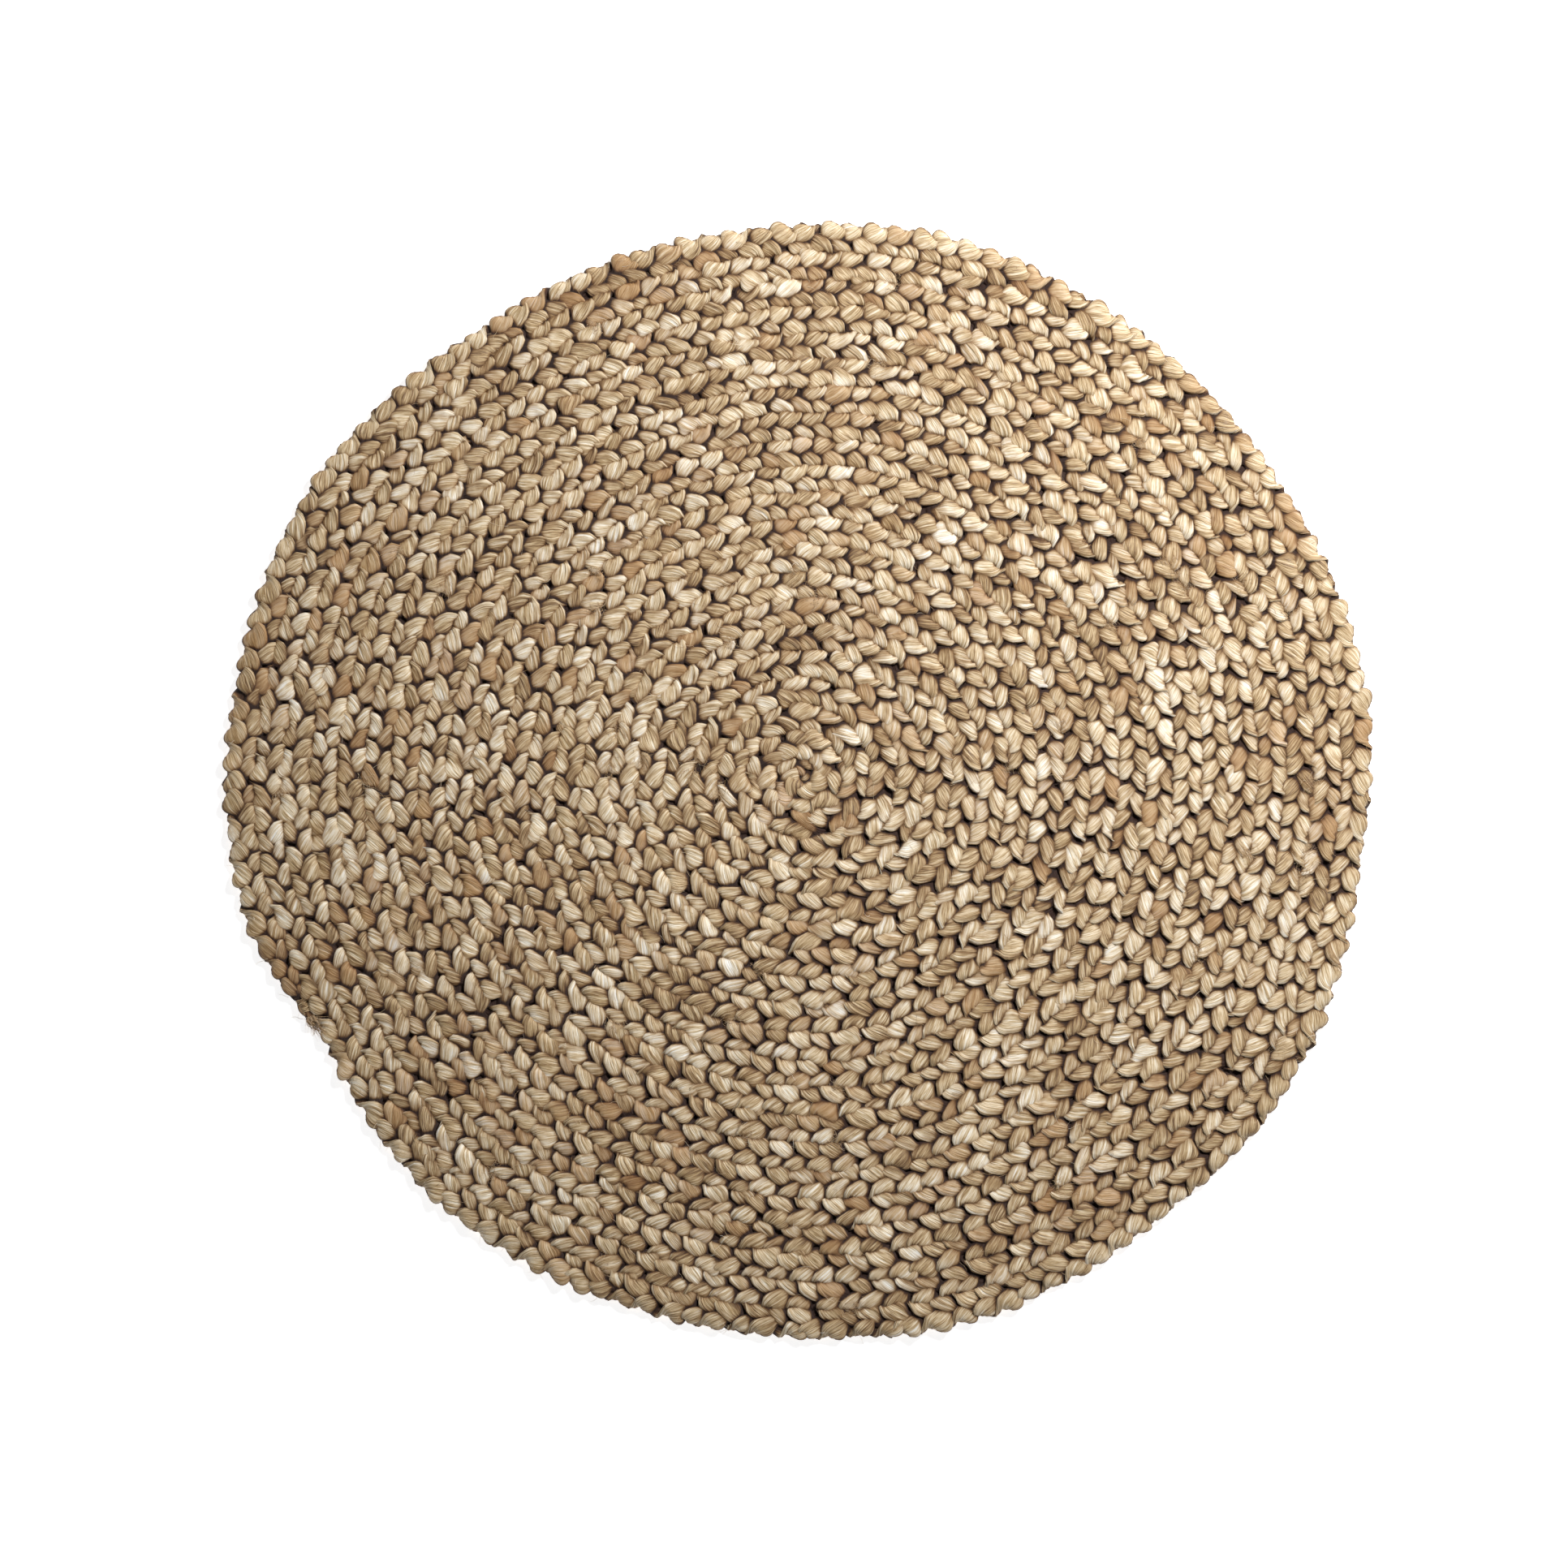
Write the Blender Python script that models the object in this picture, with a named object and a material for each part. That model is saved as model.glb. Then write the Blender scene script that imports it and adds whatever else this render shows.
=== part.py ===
"""A flat round rug: one three-strand jute braid, wound outwards as a spiral and laced round to round.

Units are metres, +Z is up, and the rug lies on Z = 0 with the middle of its outline at the origin.
The braid is one unbroken length. Each of its rounds is a solid of its own here, with a plain
six-sided section, and it meets the next round end to end at the direction where the braid ends.
A place on the braid is named by its turn: 2.25 is two and a quarter turns out from the centre.
"""

import math

import bmesh
import bpy

# The braid
BRAID_PITCH = 0.0244  # from one round to the next
BRAID_THICKNESS = 0.011
SHOULDER = 0.0036  # how far the braid's rounded sides come in by its top and bottom faces
GAP = 0.0003  # between touching pieces

# The spiral
FIRST_TURN = -0.3  # the braid's start, curled in at the centre
ROUNDS = 20
END_TURN = 0.575  # the part of a turn at which every round ends, 207 degrees from +X
CENTRE_RADIUS = 0.0012  # the eye that the start curls around
OUTLINE_RADIUS = 0.5  # where the outline's waves have their full height
OUTLINE_WAVES = (  # waves in a turn, height, and the direction of one crest in degrees
    (1, 0.0125, 300),
    (2, 0.0035, 172),
    (3, 0.0020, 50),
    (4, 0.0020, 65),
    (5, 0.0020, 15),
    (7, 0.0015, 24),
    (8, 0.0015, 12),
    (10, 0.0015, 6),
)
SIDES_BY_ROUND = ((2, 12), (7, 24), (ROUNDS, 48))  # up to this round, so many sides to a turn

# The outer end, which tapers, is bound, and lies against the round inside it
TAPER_LENGTH = 0.110
TIP_SHARE = 0.42  # of the braid's width, at the tip
NECK_LENGTH = 0.030  # the slim stretch that the whipping binds
NECK_STEP = 0.002  # the slope down into it
TAPER_STEPS = 6
WHIPPING_START = 0.026  # before the tip
WHIPPING_END = 0.013
WHIPPING_THICKNESS = 0.0011

# The lacing thread, pressed into the groove between two rounds, on the underside
THREAD_RADIUS = 0.0009
THREAD_HEIGHT = 0.0030
THREAD_FIRST_TURN = 0.3
THREAD_LAST_TURN = 19.55

JUTE = ("jute", (0.45, 0.32, 0.18), 0.85)  # name, base colour, roughness
TWINE = ("twine", (0.36, 0.25, 0.13), 0.80)


def clear_scene():
    """Removes what the file opened with."""
    for ob in list(bpy.data.objects):
        bpy.data.objects.remove(ob)


def material(name, colour, roughness):
    made = bpy.data.materials.new(name)
    made.use_nodes = True
    shader = made.node_tree.nodes["Principled BSDF"]
    shader.inputs["Base Color"].default_value = (*colour, 1.0)
    shader.inputs["Roughness"].default_value = roughness
    shader.inputs["Metallic"].default_value = 0.0
    return made


def placed(radius, turn, height):
    """The point at a radius of the even spiral, moved in or out by the outline's waves."""
    angle = 2 * math.pi * turn
    wave = sum(
        size * math.cos(count * (angle - math.radians(crest)))
        for count, size, crest in OUTLINE_WAVES
    )
    radius *= 1 + wave / OUTLINE_RADIUS
    return (radius * math.cos(angle), radius * math.sin(angle), height)


def inner_radius(turn):
    return max(CENTRE_RADIUS, BRAID_PITCH * (turn - 0.5))


def outer_radius(turn):
    return BRAID_PITCH * (turn + 0.5)


def turn_on(length, turn):
    """The turn that is this length of braid further out than a turn, or further in if negative."""
    return turn + length / (2 * math.pi * BRAID_PITCH * turn)


def section(turn, inner, outer, bottom=0.0, top=BRAID_THICKNESS):
    """The six corners of the braid's section, which is in the upright plane through the centre."""
    shoulder = min(SHOULDER, 0.3 * (outer - inner))
    middle = (bottom + top) / 2
    corners = (
        (inner, middle),
        (inner + shoulder, bottom),
        (outer - shoulder, bottom),
        (outer, middle),
        (outer - shoulder, top),
        (inner + shoulder, top),
    )
    return [placed(radius, turn, height) for radius, height in corners]


def full_section(turn):
    return section(turn, inner_radius(turn) + GAP / 2, outer_radius(turn) - GAP / 2)


def sides_of(round_number):
    return next(sides for last, sides in SIDES_BY_ROUND if round_number <= last)


def turns_of(round_number):
    """Where a round starts and ends."""
    start = round_number - 1 + END_TURN if round_number > 1 else FIRST_TURN
    return start, round_number + END_TURN


def stations(start, end, sides):
    """The turns at which a round has a section: its ends, and where its own polygon has corners."""
    step = 1 / sides
    first = math.floor((start - END_TURN) / step) + 1
    last = math.ceil((end - END_TURN) / step) - 1
    between = [END_TURN + step * i for i in range(first, last + 1)]
    least = 0.1 * step
    return [start, *(t for t in between if start + least < t < end - least), end]


def smooth_step(share):
    share = min(1.0, max(0.0, share))
    return share * share * (3 - 2 * share)


def taper_outer(turn, last_turn):
    """The outer radius of the braid's last stretch, which narrows to the tip."""
    left = (last_turn - turn) * 2 * math.pi * BRAID_PITCH * last_turn
    narrowed = (1 - TIP_SHARE) * smooth_step(1 - left / TAPER_LENGTH)
    return outer_radius(turn) - BRAID_PITCH * narrowed


def neck_section(turn, last_turn, clearance):
    """The slim section under the whipping, or with less clearance the whipping's own faces."""
    return section(
        turn,
        inner_radius(turn) + GAP / 2 + clearance,
        taper_outer(turn, last_turn) - GAP / 2 - clearance,
        clearance,
        BRAID_THICKNESS - clearance,
    )


def last_sections(start, end, sides):
    """The outermost round: full width, then the taper, then the neck at its tip."""
    taper = turn_on(-TAPER_LENGTH, end)
    neck = turn_on(-NECK_LENGTH, end)
    bound = (NECK_LENGTH - NECK_STEP, WHIPPING_START, WHIPPING_END)
    slim = [turn_on(-before, end) for before in bound]
    rings = [full_section(t) for t in stations(start, taper, sides)]
    for i in range(1, TAPER_STEPS + 1):
        turn = taper + (neck - taper) * i / TAPER_STEPS
        outer = taper_outer(turn, end) - GAP / 2
        rings.append(section(turn, inner_radius(turn) + GAP / 2, outer))
    clearance = WHIPPING_THICKNESS + GAP
    rings += [neck_section(turn, end, clearance) for turn in (*slim, end)]
    return rings


def round_sections(round_number):
    start, end = turns_of(round_number)
    if round_number > 1:
        start = turn_on(GAP, start)
    sides = sides_of(round_number)
    if round_number == ROUNDS:
        return last_sections(start, end, sides)
    return [full_section(t) for t in stations(start, end, sides)]


def thread_sections():
    """The lacing thread: a three-sided section with one corner up in the groove."""
    turns = []
    for round_number in range(1, ROUNDS):
        start, end = turns_of(round_number)
        start = max(start, THREAD_FIRST_TURN)
        end = min(end, THREAD_LAST_TURN)
        turns += stations(start, end, sides_of(round_number + 1))[:-1]
    turns.append(THREAD_LAST_TURN)
    rings = []
    for turn in turns:
        middle = outer_radius(turn)
        ring = []
        for corner in (90, 210, 330):
            sideways = THREAD_RADIUS * math.cos(math.radians(corner))
            upwards = THREAD_RADIUS * math.sin(math.radians(corner))
            ring.append(placed(middle + sideways, turn, THREAD_HEIGHT + upwards))
        rings.append(ring)
    return rings


def add_object(name, mesh, finish):
    bmesh.ops.recalc_face_normals(mesh, faces=mesh.faces)
    data = bpy.data.meshes.new(name)
    mesh.to_mesh(data)
    mesh.free()
    data.shade_smooth()
    data.set_sharp_from_angle(angle=math.radians(30))
    data.materials.append(finish)
    made = bpy.data.objects.new(name, data)
    bpy.context.scene.collection.objects.link(made)
    return made


def bridge(mesh, one, other):
    """A band of faces between two rings of the same number of corners."""
    count = len(one)
    for i in range(count):
        j = (i + 1) % count
        mesh.faces.new((one[i], one[j], other[j], other[i]))


def add_bar(name, rings, finish):
    """A solid through a row of sections, closed at both ends."""
    mesh = bmesh.new()
    loops = [[mesh.verts.new(point) for point in ring] for ring in rings]
    for one, other in zip(loops, loops[1:]):
        bridge(mesh, one, other)
    mesh.faces.new(loops[0])
    mesh.faces.new(reversed(loops[-1]))
    return add_object(name, mesh, finish)


def add_whipping(finish):
    """The binding round the tip: a band with the braid's neck through it."""
    end = turns_of(ROUNDS)[1]
    turns = (turn_on(-WHIPPING_START, end), turn_on(-WHIPPING_END, end))
    mesh = bmesh.new()
    outside, inside = (
        [[mesh.verts.new(p) for p in neck_section(t, end, clearance)] for t in turns]
        for clearance in (0.0, WHIPPING_THICKNESS)
    )
    bridge(mesh, outside[0], outside[1])
    bridge(mesh, outside[1], inside[1])
    bridge(mesh, inside[1], inside[0])
    bridge(mesh, inside[0], outside[0])
    return add_object("end_whipping", mesh, finish)


def centre_outline(objects):
    """Moves every mesh so that the middle of the whole outline is at the origin."""
    points = [v.co for ob in objects for v in ob.data.vertices]
    middle = [(min(p[i] for p in points) + max(p[i] for p in points)) / 2 for i in (0, 1)]
    for ob in objects:
        for v in ob.data.vertices:
            v.co.x -= middle[0]
            v.co.y -= middle[1]


def main():
    clear_scene()
    jute = material(*JUTE)
    twine = material(*TWINE)
    objects = [
        add_bar(f"braid_round_{number:02d}", round_sections(number), jute)
        for number in range(1, ROUNDS + 1)
    ]
    objects.append(add_bar("lacing_thread", thread_sections(), twine))
    objects.append(add_whipping(twine))
    centre_outline(objects)


main()
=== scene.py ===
"""Looks for the round braided jute rug: three plaited strands, wound out from the centre and laced.

Units are metres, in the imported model's frame: the rug lies on Z = 0 with its middle at the origin.
The three strands are modelled as the real ones run, over and under each other for the whole length
of the braid. Each is cut into one piece per round, and the three pieces of a round stand for that
round's CAD solid. The braid's spiral repeats the dimensions of part.py.

A place on the braid is named by its turn: 2.25 is two and a quarter turns out from the centre.
The order of the random draws matters: a change to it changes the whole rug.
"""

import math

import bpy
import numpy as np
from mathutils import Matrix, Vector


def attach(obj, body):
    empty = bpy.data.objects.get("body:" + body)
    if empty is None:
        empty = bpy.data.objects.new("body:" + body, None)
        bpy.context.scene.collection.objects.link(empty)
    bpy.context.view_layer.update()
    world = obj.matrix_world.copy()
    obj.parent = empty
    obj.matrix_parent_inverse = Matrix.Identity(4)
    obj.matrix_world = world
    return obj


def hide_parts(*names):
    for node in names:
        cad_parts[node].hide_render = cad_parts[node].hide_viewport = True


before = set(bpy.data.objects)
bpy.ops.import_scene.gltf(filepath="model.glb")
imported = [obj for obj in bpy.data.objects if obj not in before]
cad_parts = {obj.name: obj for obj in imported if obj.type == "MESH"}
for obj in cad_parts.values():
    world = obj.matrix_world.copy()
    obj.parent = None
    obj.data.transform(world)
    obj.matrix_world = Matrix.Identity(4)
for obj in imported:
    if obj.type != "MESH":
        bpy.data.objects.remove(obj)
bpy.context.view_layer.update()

# The braid's spiral, as in part.py
BRAID_PITCH = 0.0244
BRAID_THICKNESS = 0.011
FIRST_TURN = -0.3
ROUNDS = 20
END_TURN = 0.575
CENTRE_RADIUS = 0.0012
OUTLINE_RADIUS = 0.5
OUTLINE_WAVES = (  # waves in a turn, height, and the direction of one crest in degrees
    (1, 0.0125, 300),
    (2, 0.0035, 172),
    (3, 0.0020, 50),
    (4, 0.0020, 65),
    (5, 0.0020, 15),
    (7, 0.0015, 24),
    (8, 0.0015, 12),
    (10, 0.0015, 6),
)
OUTER_SIDES = 48
TAPER_LENGTH = 0.110
TIP_SHARE = 0.42
LAST_TURN = ROUNDS + END_TURN

# The three strands
STRANDS = ("a", "b", "c")
PERIOD = 0.064  # along the braid, from one outer edge turn of a strand to its next
CENTRE_PERIOD = 0.046
CENTRE_LENGTH = 0.35  # of braid, over which the period grows to its full length
SWING = 0.0110  # how far a strand swings from the braid's centre line
RISE = 0.0023  # how far it rises and sinks
LEVEL = 0.9  # more keeps it high or low for longer, with steeper dives in between
TURN_WEIGHT = 0.5  # less takes it round the braid's edge within a shorter length
UPRIGHT = 2.0  # more makes its face turn upright only close to an edge
WIDE = 0.0085  # a strand's half width where it lies on top
BELOW = 0.24  # the share by which it spreads wider on the underside
SPREAD = 0.8  # and on top towards the braid's edge, to fill the hollow before the next turn
UPRIGHT_WIDE = 0.0058  # where it turns upright round the braid's edge
CROSSING = 0.0069  # and where it dives at the crossing in the middle
THICK = 0.0041  # its half thickness
BLUNT = 0.65  # less makes its section squarer, where 1 is an ellipse
PACKED = 0.0009  # how much thicker it is in its dives, where the others press it rounder
SOLE = 0.0012  # the height under which the floor presses the strands flatter
END_ROUNDING = 0.006  # the length over which the strand's two ends are rounded off
END_LEAST = 0.02  # and the least of its size that is left there, squared
NARROW_WIDE = 0.8  # the power of the braid's width that a strand's width follows where it narrows
NARROW_THICK = 0.5  # and the one that its thickness follows
LOW_PASS = 0.5  # how far down a strand has to be to have all of BELOW
RING_STEP = 0.0018
RING_SIDES = 24
NEVER_ZERO = 1e-12  # keeps a normal from having no length
FULL_HALF = BRAID_PITCH / 2
MIDDLE = BRAID_THICKNESS / 2
FREE_EDGE = (LAST_TURN - 1.02, LAST_TURN - 0.98)  # where the last round's outer side becomes free
FREE_SWING = 0.73  # the share of its outward swing that a strand keeps on that side
FREE_PAINTED_SHADE_TONE = 0.65  # and of its tone: painted shade darkens the outer side, which catches more light
FREE_PAINTED_CREVICE_SHADE = 0.65  # and of its painted crevice shade, because light reaches there
BARE_REACH = 0.006  # the outward swing at which that holds in full

# How far the strands differ from a perfect plait: a share, or radians or metres as said
PHASE_VARIES = 0.52  # radians
CENTRE_PHASE_VARIES = 0.35  # radians more at the centre, which is less even
CENTRE_UNEVEN = (0.1, 0.9)  # the lengths from the start between which that fades out
SIZE = 1.02  # the strand's mean width against WIDE
PASS_SIZE_VARIES = 0.26
SLOW_SIZE_VARIES = 0.07
PASS_SWING_VARIES = 0.08
PASS_RISE_VARIES = 0.18
PASS_THICK_VARIES = 0.13
PASS_TILT_VARIES = 0.2  # radians
DRIFT = 0.0007  # metres sideways
LIFT = 0.0003  # metres up and down
RIDGES = 0.00026  # metres, the uneven bundles along a strand
WINDING = 0.35  # radians, how far the bundles wind round it
SHORT, MEDIUM, LONG = 0.05, 0.12, 0.5  # metres between the knots of these changes
RIDGE_LENGTH = 0.022
WINDING_LENGTH = 0.04

# The braid's outer end, squeezed by its whipping
WHIPPING_START = 0.026  # before the tip
WHIPPING_END = 0.013
WHIPPING_TURNS = 8
WHIPPING_RADIUS = 0.0046  # of the coils, to the middle of the twine
WHIPPING_POINTS = 480
WHIPPING_OVERRUN = 0.02  # the share of its length by which the twine goes on at each end
COIL_VARIES = 0.04
COIL_CHANGES = 30
SQUEEZE_LENGTH = 0.010
SQUEEZED = {"swing": 0.6, "rise": 0.4, "wide": 0.25, "thick": 0.15}  # the shares taken off
TIP_SQUEEZE = 0.4  # the share of the squeeze that is left at the tip
BROWN_END = (0.04, 0.13)  # how far before the tip the fibre turns brown
BROWN_END_SHARE = 0.75  # and how brown it is there

# The twine, two plies laid together
TWINE_RADIUS = 0.0009
TWINE_LAY = 0.012
TWINE_LOBES = 0.2  # the share of its radius by which the two plies stand out
TWINE_PATCH = 0.03  # the length of a lighter or darker patch
TWINE_GROOVE_PAINTED_SHADE = 0.35  # painted shade: how dark the groove between the plies is, against a crevice's 1
THREAD_FIRST_TURN = 0.3
THREAD_LAST_TURN = 19.55
STITCH_LENGTH = 0.022
STITCH_REACH = 0.0032  # to each side of the groove
STITCH_HEIGHTS = (0.0010, 0.0034)  # across the groove, and where it passes into the braid
STITCH_PLACE_VARIES = 0.12  # of a stitch, changing over the next length
STITCH_PLACE_LENGTH = 0.07
STITCH_REACH_VARIES = 0.15
STITCH_REACH_LENGTH = 0.03
LACING_STEP = 0.002
LACING_SIDES = 6
WHIPPING_SIDES = 10

# Loose fibres
FIBRE_RINGS = 10
FIBRE_SIDES = 4
FIBRE_RADIUS = 0.00013
FIBRE_SIZES = (0.6, 1.2)  # of that radius
FIBRE_TAPER = 0.7  # the share of its thickness that a fibre loses towards its end
FIBRE_LIFT_VARIES = 0.0004
STRAYS = 650
STRAY_LENGTHS = (0.007, 0.022)
STRAY_REACH = 0.012  # to each side of the braid's centre line
STRAY_TURNED = 0.6  # radians, how far they typically turn away from the braid's direction
STRAY_CURL = 0.9  # radians, how far they typically bend
STRAY_ARCH = 0.0025
STRAY_BROWNS = (0.0, 0.3, 0.9)
STRAY_BROWN_CHANCES = (0.5, 0.25, 0.25)
EDGE_STRAYS = 190
EDGE_LENGTHS = (0.006, 0.016)
EDGE_REACH = (0.002, 0.009)
EDGE_TURNED = 0.8
SPLICES = 46
SPLICE_FIBRES = 70
SPLICE_SPREAD = 0.0045
SPLICE_LENGTHS = (0.003, 0.009)
SPLICE_LEAN = 0.8  # radians, for all the fibres of one splice
SPLICE_TURNED = 0.5
SPLICE_CURL = 0.7
SPLICE_ARCH = 0.0010
FRAY_FIBRES = 260
FRAY_START = 0.010  # how far before the tip they may begin
FRAY_SPREAD = 0.0022
FRAY_LENGTHS = (0.005, 0.016)
FRAY_LEAN = 0.35
FRAY_TURNED = 0.28
FRAY_CURL = 0.6
FRAY_ARCH = 0.002
TUFT_BROWNS = (0.3, 1.0)  # of the splices and the fray

# The height maps that tell how deep in a crevice a point lies, and so how much painted shade it gets
MAP_CELL = 0.001
MAP_MARGIN = 0.02
MAP_BLUR = 0.0026
MAP_LEAST_WEIGHT = 0.05  # keeps the smoothing steady beyond the rug's edge
PAINTED_SHADE_DEPTH_RANGE = (-0.0015, 0.0021)  # depths that count as not deep at all, and as wholly deep, for the painted crevice shade
BROWN_PASSES = (0.40, 1.05)  # of a random -1 to 1: where a pass starts to be brown, and wholly so

rng = np.random.default_rng(20)


def smooth(low, high, x):
    """0 below low, 1 above high, and a smooth step in between."""
    share = np.clip((x - low) / (high - low), 0.0, 1.0)
    return share * share * (3 - 2 * share)


def wobble(x):
    """A smooth random curve from -1 to 1 with a value of its own at each whole number."""
    knots = rng.uniform(-1, 1, int(np.max(x) - np.min(x)) + 4)
    place = x - np.min(x)
    low = np.floor(place).astype(int)
    part = smooth(0, 1, place - low)
    return knots[low] * (1 - part) + knots[low + 1] * part


# ---- the spiral ----


def wave_scale(angle):
    wave = sum(h * np.cos(n * (angle - math.radians(c))) for n, h, c in OUTLINE_WAVES)
    return 1 + wave / OUTLINE_RADIUS


def radii(turn):
    """The braid's inner and outer radius, before the outline's waves."""
    inner = np.maximum(CENTRE_RADIUS, BRAID_PITCH * (turn - 0.5))
    left = (LAST_TURN - turn) * 2 * math.pi * BRAID_PITCH * LAST_TURN
    narrowed = (1 - TIP_SHARE) * smooth(0, 1, 1 - left / TAPER_LENGTH)
    return inner, BRAID_PITCH * (turn + 0.5 - narrowed)


def outline_shift():
    """What centres the outline: the middle of the box of the corners that the CAD spiral has."""
    turn = LAST_TURN - np.arange(OUTER_SIDES + 1) / OUTER_SIDES
    radius = radii(turn)[1] * wave_scale(2 * math.pi * turn)
    x, y = radius * np.cos(2 * math.pi * turn), radius * np.sin(2 * math.pi * turn)
    return (x.max() + x.min()) / 2, (y.max() + y.min()) / 2


SHIFT = outline_shift()


def placed(radius, turn, height):
    angle = 2 * math.pi * turn
    radius = radius * wave_scale(angle)
    x = radius * np.cos(angle) - SHIFT[0]
    y = radius * np.sin(angle) - SHIFT[1]
    return np.stack([x, y, height + 0 * x], axis=-1)


def braid_line():
    """Turn, length from the start and phase of the plait, at even steps along the braid."""
    fine = np.linspace(FIRST_TURN, LAST_TURN, 200001)
    inner, outer = radii(fine)
    around = math.pi * (inner + outer)
    length = np.concatenate([[0], np.cumsum((around[1:] + around[:-1]) / 2 * np.diff(fine))])
    period = CENTRE_PERIOD + (PERIOD - CENTRE_PERIOD) * smooth(0, CENTRE_LENGTH, length)
    rate = 2 * math.pi / period
    phase = np.concatenate([[0], np.cumsum((rate[1:] + rate[:-1]) / 2 * np.diff(length))])
    count = int(length[-1] / RING_STEP)
    even = np.linspace(0, length[-1], count + 1)
    return np.interp(even, length, fine), even, np.interp(even, length, phase)


def unit(v):
    return v / np.linalg.norm(v, axis=-1, keepdims=True)


def run_of(path):
    """The length along a path at each of its points."""
    steps = np.linalg.norm(np.diff(path, axis=0), axis=-1)
    return np.concatenate([[0], np.cumsum(steps)])


# ---- the strands ----


def plait_path(phase):
    """A strand's place in the braid's section: swing, rise, and the lean of its face, all -1 to 1.

    The path is a lying figure of eight, passed at an even speed.
    """
    angle = np.linspace(0, 2 * math.pi, 4001)
    swing, rise = np.sin(angle), -np.tanh(LEVEL * np.sin(2 * angle)) / math.tanh(LEVEL)
    step = np.hypot(SWING * np.diff(swing), TURN_WEIGHT * RISE * np.diff(rise))
    run = np.concatenate([[0], np.cumsum(step)])
    place = run[-1] * np.mod(phase / (2 * math.pi), 1)
    lean = -np.tanh(UPRIGHT * np.cos(angle)) / math.tanh(UPRIGHT)
    return tuple(np.interp(place, run, values) for values in (swing, rise, lean))


def even_angles(count, ratio):
    """The angles of evenly spaced points round an ellipse."""
    fine = np.linspace(0, 2 * math.pi, 4001)
    rate = np.hypot(np.sin(fine), np.cos(fine) / ratio)
    run = np.concatenate([[0], np.cumsum((rate[1:] + rate[:-1]) / 2)])
    return np.interp(run[-1] * np.arange(count) / count, run, fine)


def pressed(height):
    """Heights squeezed together near the floor, so that all are above it in the order they had."""
    return np.where(height > SOLE, height, SOLE * np.exp(np.minimum(height / SOLE - 1, 0)))


def whipping_leaves(left):
    """The shares of a strand's measures that the whipping leaves, by the length before the tip."""
    squeezed = 1 - smooth(WHIPPING_START, WHIPPING_START + SQUEEZE_LENGTH, left)
    squeezed = squeezed * (TIP_SQUEEZE + (1 - TIP_SQUEEZE) * smooth(0.0, WHIPPING_END, left))
    return {measure: 1 - share * squeezed for measure, share in SQUEEZED.items()}


def strand_axes(turn, along, tilt):
    """The directions of a strand's width and thickness. It is upright at no tilt."""
    angle = 2 * math.pi * turn
    outward = np.stack([np.cos(angle), np.sin(angle), 0 * angle], axis=-1)
    up = np.array([0.0, 0.0, 1.0])
    face = np.cos(tilt)[:, None] * outward + np.sin(tilt)[:, None] * up
    face = unit(face - np.sum(face * along, axis=-1, keepdims=True) * along)
    return np.cross(along, face), face


def strand_looks(passes, free, left, swing):
    """At each ring: the tone, darker on the rug's outer side as painted shade, how brown it is, and
    the share that holds of a crevice's depth, which sets the painted crevice shade.
    """
    tone = (0.5 + 0.5 * wobble(passes)) * (1 - (1 - FREE_PAINTED_SHADE_TONE) * free)
    at_end = BROWN_END_SHARE * (1 - smooth(*BROWN_END, left))
    brown = np.maximum(smooth(*BROWN_PASSES, wobble(passes / 2)), at_end)
    bare = free * smooth(0.0, BARE_REACH, swing)  # the rug's outer side, where the painted crevice shade is weaker
    return np.stack([tone, brown, 1 - (1 - FREE_PAINTED_CREVICE_SHADE) * bare], axis=-1)


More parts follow.
